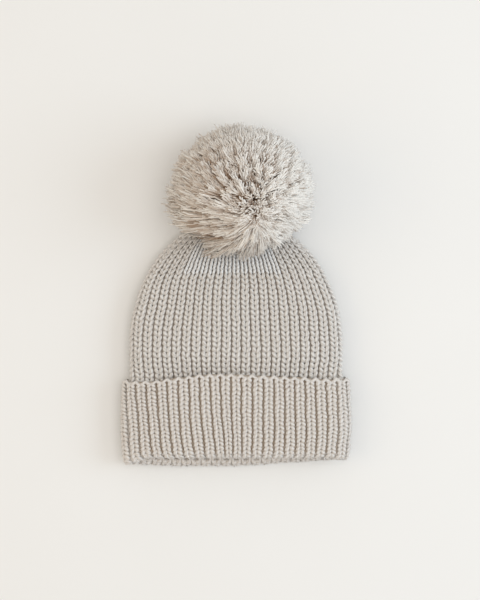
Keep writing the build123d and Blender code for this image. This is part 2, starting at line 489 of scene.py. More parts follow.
def crownShape(s):
    # half width, half height and mid height of the crown's outside
    rise = np.clip(s - hat["domeStart"], 0, hat["domeDepth"] * hat["domeClosed"]) / hat["domeDepth"]
    wide = hat["crownHalf"] * np.sqrt(1 - rise ** 2)
    swell = smoothStep(hat["cuffHeight"] + hat["swellFrom"], hat["cuffHeight"] + hat["swellTo"], s)
    inCuff = hat["cuffThick"] / 2 - hat["tuck"]
    full = hat["crownThick"] / 2
    high = inCuff + (full - inCuff) * swell
    fall = smoothStep(hat["topStart"] - hat["tipSlope"], hat["topEnd"], s)
    high = high + (hat["tipThick"] / 2 - full) * fall
    mid = hat["cuffThick"] / 2 * (1 - swell) + high * swell
    return wide, high, mid


def crownSurface(inset):
    def surface(u, s):
        wide, high, mid = crownShape(s)
        high = np.maximum(high - inset + hat["lift"] * softLift.at(u, s), hat["thinnest"])
        x, z = section.point(u, wide - inset, high)
        return np.stack([x, s + brimY, z + mid], axis=1)
    return surface


# the rib is one fabric: from its cast-on edge down to the fold, round it, and up inside
rib = dict(
    girth=428.0,            # round the outside, which sets the width of a wale
    outerInset=2.1,         # mid fabric to the cuff's outside
    innerInset=10.2,        # the same for the layer next to the head
    rows=21,                # cuff and fold
    edgeRows=2,             # of these, carried by the free edge
    brimRows=14,
    flat=0.80,              # knit pressed flat through its thickness
    foldFlat=0.6,           # and pressed more round the fold
    frontEase=0.38,         # but less so in front
    skew=0.0145,            # shift of the left front ribs, as a share of the way round
    skewRight=(0.475, 0.565),   # places where the shift fades out
    skewLeft=(0.81, 0.73),
    frontFold=4.9,          # how far the front fold rides up
    backFold=-4.6,          # how far the back one hangs down, less at the right and at the sides
    backFoldRight=4.0,
    backFoldSides=2.2,
    foldFade=1.6,
    edgeWaves=((2.4, 0.52, 0.10), (-4.5, 0.70, 0.08), (-2.2, 0.30, 0.08)),  # height, place, width
    wider=1.0,              # the cuff is a little barrel shaped
    barrel=1.6,
    barrelMiddle=38.0,
    sideTaper=0.35,         # share of the inset that narrows the inner layer
    lift=0.7,
    innerFrom=6.0,          # an inset past this is in the inner layer, which lies even
    thinnest=2.0,
    castOnStart=0.3,
    castOnSeed=71,
    edgeSeed=21,
    cuffSeed=31,
    brimSeed=41,
)
foldRadius = (rib["innerInset"] - rib["outerInset"]) / 2
foldReach = foldRadius + rib["outerInset"]
outerLength = hat["cuffHeight"] - foldReach
foldLength = math.pi * foldRadius
rib["rowPitch"] = (outerLength + foldLength) / rib["rows"]


def ribSurface(u, t):
    # t runs from the cast-on edge
    turn = np.clip((t - outerLength) / foldLength, 0, 1) * math.pi
    s = np.where(t < outerLength, hat["cuffHeight"] - t,
                 np.where(t < outerLength + foldLength, foldReach - foldRadius * np.sin(turn),
                          foldReach + t - outerLength - foldLength))
    inset = rib["outerInset"] + foldRadius * (1 - np.cos(turn))
    place = u % 1.0
    aside = np.sin(2 * math.pi * place)     # one at the right, minus one at the left
    front = frontShare(place)
    share = np.clip(s / hat["cuffHeight"], 0, 1)
    # the left of the cuff is skewed, and its front fold rides higher than the back one
    skew = smoothStep(*rib["skewRight"], place) * smoothStep(*rib["skewLeft"], place)
    u = u - rib["skew"] * skew * (1 - share)
    behind = (rib["backFold"] + rib["backFoldRight"] * smoothStep(-0.1, 1.0, aside)
              + rib["backFoldSides"] * np.abs(aside) ** 8)
    s = s + (1 - share) ** rib["foldFade"] * (front * rib["frontFold"] + (1 - front) * behind)
    wave = sum(height * bump(middle, width, place) for height, middle, width in rib["edgeWaves"])
    s = s + share ** 2 * wave
    barrel = rib["wider"] - rib["barrel"] * ((s - rib["barrelMiddle"]) / rib["barrelMiddle"]) ** 2
    lift = rib["lift"] * softLift.at(u + 0.3, s)
    wideInset = rib["outerInset"] + rib["sideTaper"] * (inset - rib["outerInset"])
    onOutside = inset < rib["innerFrom"]
    x, z = section.point(u, hat["cuffHalf"] + barrel - wideInset,
                         np.maximum(hat["cuffThick"] / 2 - inset + lift * onOutside, rib["thinnest"]))
    return np.stack([x, s + brimY, z + hat["cuffThick"] / 2], axis=1)


def surfaceFrame(surface, u, t):
    # points on a surface and its normal there
    du, dt = 1e-4, 0.05
    alongU = surface(u + du, t) - surface(u - du, t)
    alongT = surface(u, t + dt) - surface(u, t - dt)
    normal = np.cross(alongT, alongU)
    normal /= np.maximum(np.linalg.norm(normal, axis=1), 1e-12)[:, None]
    return surface(u, t), normal


# stitches: x across the wale, y up it in rows, z out of the fabric in yarn radii, and thickness

def mirrored(half):
    # half a stitch from its left side to its middle, and the same turned about the middle
    return list(half) + [(-x, y, z, thick) for x, y, z, thick in reversed(half[:-1])]


stitches = dict(
    rib=dict(radius=1.72, points=20, path=mirrored([
        (-0.50, 1.40, -1.30, 0.9), (-0.39, 1.24, -1.60, 0.9), (-0.35, 0.72, -1.90, 0.9),
        (-0.39, 0.04, -1.75, 0.9), (-0.27, -0.18, -1.65, 0.85), (-0.065, -0.10, -1.30, 0.8),
        (-0.090, 0.11, -0.42, 0.95), (-0.198, 0.38, 0.95, 1.15), (-0.285, 0.67, 0.28, 1.08),
        (-0.24, 1.00, -1.15, 0.85), (0.0, 1.16, -1.85, 0.8)])),
    crown=dict(radius=1.80, points=20, path=mirrored([
        (-0.50, 1.40, -1.40, 0.85), (-0.40, 1.25, -1.65, 0.85), (-0.36, 0.72, -1.95, 0.85),
        (-0.41, 0.02, -1.75, 0.85), (-0.31, -0.18, -1.60, 0.85), (-0.075, -0.12, -1.25, 0.85),
        (-0.105, 0.08, -0.30, 0.95), (-0.195, 0.30, 0.85, 1.12), (-0.282, 0.56, 0.55, 1.10),
        (-0.285, 0.96, -1.10, 0.9), (0.0, 1.18, -1.80, 0.8)])),
    fine=dict(radius=1.62, points=20, path=mirrored([
        (-0.50, 1.40, -1.60, 0.85), (-0.40, 1.25, -1.80, 0.85), (-0.36, 0.72, -2.1, 0.85),
        (-0.38, 0.02, -2.0, 0.85), (-0.31, -0.20, -1.65, 0.85), (-0.160, -0.08, -1.0, 0.85),
        (-0.210, 0.18, 0.1, 0.98), (-0.250, 0.46, 0.80, 1.08), (-0.275, 0.78, 0.45, 1.02),
        (-0.24, 1.10, -1.0, 0.85), (0.0, 1.26, -1.70, 0.8)])),
    castOn=dict(radius=1.38, points=14, path=[
        (-0.50, -0.62, 0.20, 1.0), (-0.34, -0.32, 0.75, 1.05), (-0.17, 0.0, 0.65, 1.05),
        (0.0, 0.12, 0.0, 0.9), (0.17, 0.0, 0.65, 1.05), (0.34, -0.32, 0.75, 1.05),
        (0.50, -0.62, 0.20, 1.0)]),
)

# every stitch a little different, and the wales never quite straight
uneven = dict(
    waves=6,
    across=(0.032, 1.9, 2.2),   # share of a wale, and the waves' lengths in wales and in rows
    along=(0.075, 1.7, 2.0),    # the same, as a share of a row
    out=(0.10, 2.1, 2.4),       # and of the yarn's radius
    waleDrift=0.05,             # share of a wale
    rowDrift=0.35,
    floorGap=0.2,               # kept above the table
)

# painted shade: how dark the yarn is painted down in the fabric, where shade falls; top, bottom and back
# are in yarn radii
paintedShade = dict(
    ribTop=0.8,                 # the rib's paint starts higher than the rest
    top=0.3,
    bottom=-1.9,
    backFrom=-1.7,              # the back of the fabric is light again
    backTo=-2.6,
    backShare=0.75,
    foldShare=0.75,             # and so is the fold, from the end of the cuff's outer layer
    foldFrom=-1.0,
    foldTo=2.0,
    sideShare=0.7,              # and the hat's outline
    sideFrom=0.965,
)
yarnSides = 6


def stitchObject(kind, walePitch, rowPitch, material):
    look = stitches[kind]
    path = np.array(look["path"], float) * (walePitch, rowPitch, look["radius"], 1.0)
    path = splineThrough(path, look["points"])
    mesh = runTree(sweepYarn, pathMesh([path[:, :3]], {"thick": path[:, 3]}), {
        "Radius": look["radius"], "Sides": yarnSides, "Caps": False, "Yarn": material})
    mesh.name = kind + "Stitch"
    return bpy.data.objects.new(mesh.name, mesh)


def paintedShadeShare(kind, low, u, t):
    # painted shade: nought on top of the fabric, one down between its wales
    highest = paintedShade["ribTop"] if kind == "rib" else paintedShade["top"]
    back = paintedShade["backShare"] * smoothStep(paintedShade["backFrom"], paintedShade["backTo"], low)
    sunk = smoothStep(highest, paintedShade["bottom"], low) * (1 - back)
    if kind == "rib":
        fold = smoothStep(outerLength + paintedShade["foldFrom"], outerLength + paintedShade["foldTo"], t)
        sunk = sunk * (1 - paintedShade["foldShare"] * fold)
    side = smoothStep(paintedShade["sideFrom"], 1.0, np.abs(np.sin(2 * math.pi * u)))
    return sunk * (1 - paintedShade["sideShare"] * side)


def knit(name, kind, surface, size, body, nodes, slot, material):
    # size holds the girth, the wales in this piece, the share of the way round where they start,
    # the way they go, the rows, where those start and their pitch, and how flat they lie
    look = stitches[kind]
    wale, row = size["girth"] / hat["wales"], size["rowPitch"]
    stitch = stitchObject(kind, wale, row, material)
    mesh = runTree(knitField, bpy.data.meshes.new("empty"), {
        "Stitch": stitch, "Wales": size["wales"], "Rows": size["rows"],
        "Wale Pitch": wale, "Row Pitch": row, "Yarn": material})
    flat = np.empty(len(mesh.vertices) * 3)
    mesh.vertices.foreach_get("co", flat)
    flat = flat.reshape(-1, 3)
    x = flat[:, 0] + (size["wales"] - 1) / 2 * wale
    y = flat[:, 1] + (size["rows"] - 1) / 2 * row
    z = flat[:, 2]

    def stray(setting, length, step):
        share, lengthX, lengthY = uneven[setting]
        waves = Wobble(size["seed"] + step, uneven["waves"], lengthX * wale, lengthY * row)
        return share * length * waves.at(x, y)

    u = size["first"] + size["way"] * (x + stray("across", wale, 0) + 0.5 * wale) / (wale * hat["wales"])
    u = u + uneven["waleDrift"] / hat["wales"] * waleDrift.at(u, y)
    t = size["start"] + y + stray("along", row, 1) + uneven["rowDrift"] * rowDrift.at(u, y)
    out = (z + stray("out", look["radius"], 2)) * size["flat"]
    if kind == "rib":
        # pressed flat round the fold, less so in front
        press = rib["foldFlat"] - rib["frontEase"] * frontShare(u % 1.0)
        out = out * (1 - press * bump(outerLength + foldLength / 2, foldLength * 0.7, t))
    base, normal = surfaceFrame(surface, u, t)
    if size["way"] > 0:
        normal = -normal
    placed = (base + normal * out[:, None]) * mm
    placed[:, 2] = np.maximum(placed[:, 2], uneven["floorGap"] * mm)
    mesh.vertices.foreach_set("co", placed.astype(np.float32).ravel())
    # painted shade, handed to the material as the depth attribute
    depth = mesh.attributes.new("depth", "FLOAT", "POINT")
    depth.data.foreach_set("value", paintedShadeShare(kind, z / look["radius"], u, t).astype(np.float32))
    yarnMaps(mesh, len(stitch.data.vertices), yarnSides)
    mesh.name = name
    bpy.data.objects.remove(stitch)
    return linkPiece(name, mesh, body, nodes, slot)


def yarnMaps(mesh, perPath, sides):
    # "yarn" runs along and round the yarn; "OFBake" gives every path its own cell
    shift = 0.37            # rings between the patterns of neighbouring paths
    cellShape = 3.5         # rows of cells for each column
    margin = 0.04
    vertex = np.empty(len(mesh.loops), int)
    mesh.loops.foreach_get("vertex_index", vertex)
    starts = np.empty(len(mesh.polygons), int)
    mesh.polygons.foreach_get("loop_start", starts)
    totals = np.empty(len(mesh.polygons), int)
    mesh.polygons.foreach_get("loop_total", totals)
    path = vertex // perPath
    ring = (vertex % perPath) // sides
    side = (vertex % sides).astype(float)
    # the face that closes the ring runs to one whole turn, not back to nought
    spread = np.maximum.reduceat(side, starts) - np.minimum.reduceat(side, starts)
    closing = np.repeat((spread > 1.5) & (totals == 4), totals)
    around = np.where(closing & (side < 1.5), side + sides, side) / sides
    rings = perPath // sides
    yarn = mesh.uv_layers.new(name="yarn")
    yarn.data.foreach_set("uv", np.stack([ring + path * shift, around], 1).astype(np.float32).ravel())
    total = int(path.max()) + 1
    columns = max(1, int(math.sqrt(total / cellShape)))
    rows = math.ceil(total / columns)
    bakeU = (path % columns + margin + (1 - 2 * margin) * ring / (rings - 1)) / columns
    bakeV = (path // columns + 2 * margin + (1 - 4 * margin) * around) / rows
    bake = mesh.uv_layers.new(name="OFBake")
    bake.data.foreach_set("uv", np.stack([bakeU, bakeV], 1).astype(np.float32).ravel())
    mesh.uv_layers.active = yarn
    mesh.polygons.foreach_set("use_smooth", [True] * len(mesh.polygons))


# the front half runs from a quarter of the way round to three quarters, and the back half on
# from there; the cuff's wales are counted from one end, and the rest from the other
halfWale = 0.5 / hat["wales"]
halves = (("front", 0.25 - halfWale, 0.75 + halfWale), ("back", 0.75 - halfWale, 1.25 + halfWale))

for side, near, far in halves:
    common = dict(girth=rib["girth"], wales=hat["wales"] // 2, first=near, way=1,
                  rowPitch=rib["rowPitch"], flat=rib["flat"])
    knit("castOn_" + side, "castOn", ribSurface,
         dict(common, rows=1, start=rib["castOnStart"], seed=rib["castOnSeed"]),
         "cuff_free_edge", ["cuff_edge"], "rib_knit", ribYarn)
    knit("cuffEdge_" + side, "rib", ribSurface,
         dict(common, rows=rib["edgeRows"], start=0.0, seed=rib["edgeSeed"]),
         "cuff_free_edge", ["cuff_edge"], "rib_knit", ribYarn)
    cuffPiece = knit("cuff_" + side, "rib", ribSurface,
                     dict(common, rows=rib["rows"] - rib["edgeRows"],
                          start=rib["edgeRows"] * rib["rowPitch"], seed=rib["cuffSeed"]),
                     None, ["cuff"], "rib_knit", ribYarn)
    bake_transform(cuffPiece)
    # the rows run up the brim, so its wales are counted the other way to face out as well
    knit("brim_" + side, "rib", ribSurface,
         dict(common, rows=rib["brimRows"], start=rib["rows"] * rib["rowPitch"],
              seed=rib["brimSeed"], way=-1, first=far),
         "hat", ["brim"], "rib_knit", ribYarn)
print("rib knitted")

crown = dict(girth=404.0, rows=23, inset=2.2, flat=0.78, seed=51)
crownPitch = (hat["topStart"] - hat["crownStart"]) / crown["rows"]
for side, near, far in halves:
    knit("crown_" + side, "crown", crownSurface(crown["inset"]),
         dict(girth=crown["girth"], wales=hat["wales"] // 2, first=far, way=-1, rows=crown["rows"],
              start=hat["crownStart"], rowPitch=crownPitch, flat=crown["flat"], seed=crown["seed"]),
         "hat", ["crown"], "crown_knit", crownYarn)
print("crown knitted")

# the middle of the gathered top is finer; beside it the chunky wales run on to the pom
top = dict(fineRows=13, sideRows=10, sideWales=5, inset=1.9, flat=0.85, tipGap=1.5, seed=61)
topLength = hat["topEnd"] - top["tipGap"] - hat["topStart"]
middleWales = hat["wales"] // 2 - 2 * top["sideWales"]
for side, near, far in halves:
    for name, kind, skipped, wales, rows, slot, yarn in (
            ("gatheredTop_", "fine", top["sideWales"], middleWales, top["fineRows"],
             "fine_knit", fineYarn),
            ("topWales1_", "crown", 0, top["sideWales"], top["sideRows"],
             "crown_knit", crownYarn),
            ("topWales2_", "crown", top["sideWales"] + middleWales, top["sideWales"],
             top["sideRows"], "crown_knit", crownYarn)):
        knit(name + side, kind, crownSurface(top["inset"]),
             dict(girth=crown["girth"], wales=wales, first=far - skipped / hat["wales"], way=-1,
                  rows=rows, start=hat["topStart"], rowPitch=topLength / rows, flat=top["flat"],
                  seed=top["seed"]),
             "hat", ["gathered_top"], slot, yarn)
print("gathered top knitted")


# small yarn pieces: each one's settings give its radius, its plies, the length of their turn and
# the points along it

def frames(path):
    # two directions across a path, carried along it without twist
    way = np.gradient(path, axis=0)
    way /= np.linalg.norm(way, axis=1)[:, None]
    side = np.cross(way[0], (0.3, 0.5, 0.81))
    sides = []
    for step in way:
        side = side - step * side.dot(step)
        side = side / np.linalg.norm(side)
        sides.append(side)
    sides = np.array(sides)
    return sides, np.cross(way, sides)


def yarnPiece(name, routes, look, body, node, slot, material):
    # every route becomes plies twisted round it
    plied = look["plies"] > 1
    reach = look["radius"] * (0.5 if plied else 0.0)
    plyRadius = look["radius"] * (0.56 if plied else 1.0)
    sunk = 0.25
    paths = []
    for route in routes:
        middle = splineThrough(route, look["points"])
        length = np.r_[0, np.cumsum(np.linalg.norm(np.diff(middle, axis=0), axis=1))]
        across, up = frames(middle)
        for ply in range(look["plies"]):
            angle = 2 * math.pi * (length / look["turn"] + ply / look["plies"])
            paths.append(middle + reach * (np.cos(angle)[:, None] * across
                                           + np.sin(angle)[:, None] * up))
    paths = np.array(paths)
    source = pathMesh(paths * mm, {"depth": np.full(paths.shape[:2], sunk)})
    mesh = runTree(sweepYarn, source, {
        "Radius": plyRadius * mm, "Sides": yarnSides, "Caps": True, "Yarn": material})
    yarnMaps(mesh, look["points"] * yarnSides, yarnSides)
    return linkPiece(name, mesh, body, [node], slot)


def boxOf(node):
    # a node's corners in mm
    return [np.array(corner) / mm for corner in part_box(node)]


def ring(centre, radius, normal, turns=1.0, rise=0.0, count=40):
    normal = np.asarray(normal, float) / np.linalg.norm(normal)
    side = np.cross(normal, (0.2, 0.9, 0.3))
    side /= np.linalg.norm(side)
    up = np.cross(normal, side)
    angle = np.linspace(0, 2 * math.pi * turns, count)
    lift = np.linspace(-rise / 2, rise / 2, count)[:, None] * normal
    return centre + radius * (np.cos(angle)[:, None] * side + np.sin(angle)[:, None] * up) + lift


gatherLow, gatherHigh = boxOf("gather_yarn")
gather = dict(radius=(gatherHigh[1] - gatherLow[1]) / 2, plies=2, turn=6.0, points=60)
gatherRing = ring((gatherLow + gatherHigh) / 2, (gatherHigh[0] - gatherLow[0]) / 2 - gather["radius"],
                  (0, 1, 0))
yarnPiece("gatherYarn", [gatherRing], gather, "hat", "gather_yarn", "tie_yarn", tieYarn)

seam = dict(radius=0.75, plies=1, turn=9.0, points=420,
            crossings=89, half=1.7, ends=1.0, inside=2.2, edge=0.7)
seamLow, seamHigh = boxOf("back_seam")
seamY = np.linspace(seamLow[1] + seam["ends"], seamHigh[1] - seam["ends"], seam["crossings"])
seamRise, seamMid = crownShape(seamY - brimY)[1:]
seamZ = np.clip(seamMid - seamRise + seam["inside"], seamLow[2] + seam["edge"],
                seamHigh[2] - seam["edge"])
seamSide = np.where(np.arange(seam["crossings"]) % 2, 1.0, -1.0)
seamX = (seamLow[0] + seamHigh[0]) / 2 + seam["half"] * seamSide
yarnPiece("backSeam", [np.stack([seamX, seamY, seamZ], 1)], seam, "hat", "back_seam",
          "seam_yarn", tieYarn)

# the knot is a trefoil
knotLow, knotHigh = boxOf("inner_knot")
knotReach = (knotHigh[0] - knotLow[0]) / 2
knot = dict(radius=knotReach * 0.36, plies=2, turn=7.0, points=90, spread=0.22, depth=1.6,
            corners=60)
knotTurn = np.linspace(0, 2 * math.pi, knot["corners"])
knotPath = np.stack([np.sin(knotTurn) + 2 * np.sin(2 * knotTurn),
                     np.cos(knotTurn) - 2 * np.cos(2 * knotTurn),
                     -knot["depth"] * np.sin(3 * knotTurn)], 1)
knotPath = (knotLow + knotHigh) / 2 + knotPath * knotReach * knot["spread"]
yarnPiece("innerKnot", [knotPath], knot, "tie", "inner_knot", "tie_yarn", tieYarn)

loop = dict(radius=1.5, plies=2, turn=5.0, points=80, bend=2.4, top=3.6, corners=22)
loopLow, loopHigh = boxOf("tie_loop")
loopCentre = np.array([0.0, loopHigh[1] - loop["top"], (loopLow[2] + loopHigh[2]) / 2])
loopTurn = np.linspace(-math.pi, math.pi, loop["corners"])
loopPath = np.vstack([
    [(0, loopLow[1], loopCentre[2]), (0, (loopLow[1] + loopCentre[1]) / 2 - 1, loopCentre[2])],
    loopCentre + loop["bend"] * np.stack([0 * loopTurn, np.cos(loopTurn), np.sin(loopTurn)], 1)])
yarnPiece("tieLoop", [loopPath], loop, "tie", "tie_loop", "tie_yarn", tieYarn)

tail = dict(radius=1.0, plies=2, turn=4.0, points=50, apart=1.1)
tailLow, tailHigh = boxOf("tie_tails")
tailZ = (tailLow[2] + tailHigh[2]) / 2
tails = []
for x in (-tail["apart"], tail["apart"]):
    tails.append([(x * 0.7, tailHigh[1], tailZ), (x, tailHigh[1] - 4, tailZ + 0.4),
                  (x * 1.5, tailHigh[1] - 9, tailZ - 0.3), (x * 1.2, tailLow[1], tailZ + 0.2)])
yarnPiece("tieTails", tails, tail, "tie", "tie_tails", "tie_yarn", tieYarn)

neck = dict(radius=1.9, plies=2, turn=8.0, points=60, ends=1.0)
binding = dict(radius=1.1, plies=2, turn=6.0, points=260, reach=7.0, turns=3.0, rise=3.0,
               corners=120)
bindingLow, bindingHigh = boxOf("pom_binding")
bindingMiddle = (bindingLow + bindingHigh) / 2
neckLow, neckHigh = boxOf("tie_neck")
neckMiddle = (neckLow + neckHigh) / 2
neckWay = bindingMiddle - loopCentre
neckWay /= np.linalg.norm(neckWay)
neckHalf = ((neckHigh[2] - neckLow[2]) / 2 / neckWay[2] - neck["ends"]) * neckWay
yarnPiece("tieNeck", [[neckMiddle - neckHalf, neckMiddle, neckMiddle + neckHalf]], neck,
          "pom", "tie_neck", "tie_yarn", tieYarn)
bindingRing = ring(bindingMiddle, binding["reach"], (1.0, 0, -neckWay[0] / neckWay[2]),
                   binding["turns"], binding["rise"], binding["corners"])
yarnPiece("pomBinding", [bindingRing], binding, "pom", "pom_binding", "tie_yarn", tieYarn)
print("small yarn pieces ready")


# the pom: cut yarn ends that fan out from a parting and lie down over the crown

pom = dict(
    strands=25000,
    pieces=4,
    points=5,                   # along each strand
    radius=0.54,
    thinning=0.25,              # towards the tip
    centre=(6.0, 91.5, 46.0),
    halves=(57.6, 53.2, 49.5),
    parting=(16.3, -31.5),      # where the fan starts, seen from above, from the middle
    fall=(-0.50, -0.87),        # the way the long strands lie from there
    fallSpread=2.2,
    clumps=850,                 # tufts, and how far their strands are pulled together
    clumpPull=(0.08, 0.40),
    clumpLength=0.028,
    bundles=26,                 # streaks round the parting
    bunching=0.9,
    gapDepth=0.24,
    tier=13.0,                  # degrees from the parting to each next ring of tufts
    tierDepth=0.042,
    lumps=26,                   # swellings of the whole ball
    lumpHeight=0.028,
    lumpSharpness=18,
    notch=-131.0,               # degrees, seen from above, where the left lobe and the fan part
    notchWidth=10.0,
    notchDepth=0.13,
    ragged=0.028,
    partingDepth=0.10,
    partingWidth=12.0,          # degrees
    fanWave=0.05,
    strayShare=0.025,           # strands that stand out of the ball, and how far
    strayLength=0.035,
    longest=0.17,               # extra length at the fan's edge
    shortest=0.22,              # least length of a strand that shows
    root=0.60,                  # where strands start, and how much further out in the fan
    rootInFan=0.26,
    leanBack=6.0,               # degrees that a strand's root lies nearer the parting
    leanInFan=38.0,
    sway=0.024,
    clumpSway=0.042,
    lay=2.0,                    # kept between the crown and the strands on it
    laySpread=1.6,
    floorGap=0.8,
    tipRoom=13.0,               # kept clear round the nod's axis, near the middle
    tipWidth=(60.0, 30.0),      # distances aside between which that room opens up
    softness=(0.72, 0.42),      # shares of a strand's own normal and of the ball's
    seed=11,
)

# what darkens a strand, or lightens it where the value is below nought: painted shade at the roots, in the
# gaps between bundles, in the notch and on the left side, away from the light; painted shade and highlight
# over the rings of tufts; a random tone for each clump and strand; and a little more darkness in the fan
pomShadeAndTone = dict(root=0.3, clump=0.07, strand=0.13, fan=0.02, gap=1.1, notch=0.30, tier=-0.08, left=0.26)


def sphereDirections(count, rng, spread):
    k = np.arange(count) + 0.5
    z = 1 - 2 * k / count
    turn = math.pi * (1 + math.sqrt(5)) * k
    flat = np.sqrt(1 - z * z)
    d = np.stack([flat * np.cos(turn), flat * np.sin(turn), z], 1)
    d += rng.normal(0, spread / math.sqrt(count), d.shape)
    return d / np.linalg.norm(d, axis=1)[:, None]


def turnedTowards(d, pole, angle):
    # directions turned by an angle, in radians, towards the pole
    side = pole - d * (d @ pole)[:, None]
    side /= np.maximum(np.linalg.norm(side, axis=1), 1e-9)[:, None]
    return d * np.cos(angle)[:, None] + side * np.sin(angle)[:, None]


def crownTop(x, y):
    # height of the crown's upper face, nought off the hat
    s = np.clip(y - brimY, 0, hat["topEnd"])
    wide, high, mid = crownShape(s)
    share = 1 - np.clip(np.abs(x) / wide, 0, 1) ** hat["squareness"]
    onHat = (np.abs(x) < wide) & (y - brimY < hat["topEnd"] + hat["pastTip"])
    return np.where(onHat, mid + high * share ** (1 / hat["squareness"]), 0.0)


swingJoint = next(j for j in frame["joints"] if j["name"] == "pom_swing")
pivot = np.array(swingJoint["pos_m"]) / mm
swingReach = max(abs(limit) for limit in swingJoint["range_deg"])


def sweptTop(x, y):
    # the highest that the crown comes under a strand while the pom swings
    highest = crownTop(x, y)
    for turn in np.radians(np.linspace(-swingReach, swingReach, 9)):
        dx, dy = x - pivot[0], y - pivot[1]
        highest = np.maximum(highest, crownTop(pivot[0] + dx * math.cos(turn) - dy * math.sin(turn),
                                               pivot[1] + dx * math.sin(turn) + dy * math.cos(turn)))
    return highest


def clearOfTip(points):
    # pushed out from the nod's axis, so that nothing near it cuts the tip
    offY, offZ = points[..., 1] - pivot[1], points[..., 2] - pivot[2]
    reach = np.hypot(offY, offZ)
    wanted = pom["tipRoom"] * smoothStep(*pom["tipWidth"], np.abs(points[..., 0]))
    grow = np.maximum(reach, wanted) / np.maximum(reach, 1e-6)
    beyond = np.sqrt(np.maximum(wanted ** 2 - offZ ** 2, 0))
    points[..., 1] = pivot[1] + np.where(offZ > 0, offY * grow,
                                         np.where(reach < wanted, beyond, offY))
    points[..., 2] = pivot[2] + np.where(offZ > 0, offZ * grow, offZ)
    return points


def tuftedTips(rng):
    # where each strand ends, as a direction, and the tuft that it belongs to
    tip = sphereDirections(pom["strands"], rng, 1.6)
    heads = sphereDirections(pom["clumps"], rng, 2.0)
    batch = 2000
    clump = np.empty(len(tip), int)
    for first in range(0, len(tip), batch):
        clump[first:first + batch] = np.argmax(tip[first:first + batch] @ heads.T, axis=1)
    pull = rng.uniform(*pom["clumpPull"], pom["clumps"])[clump][:, None]
    tip = tip + pull * (heads[clump] - tip)
    tip /= np.linalg.norm(tip, axis=1)[:, None]
    return tip, clump


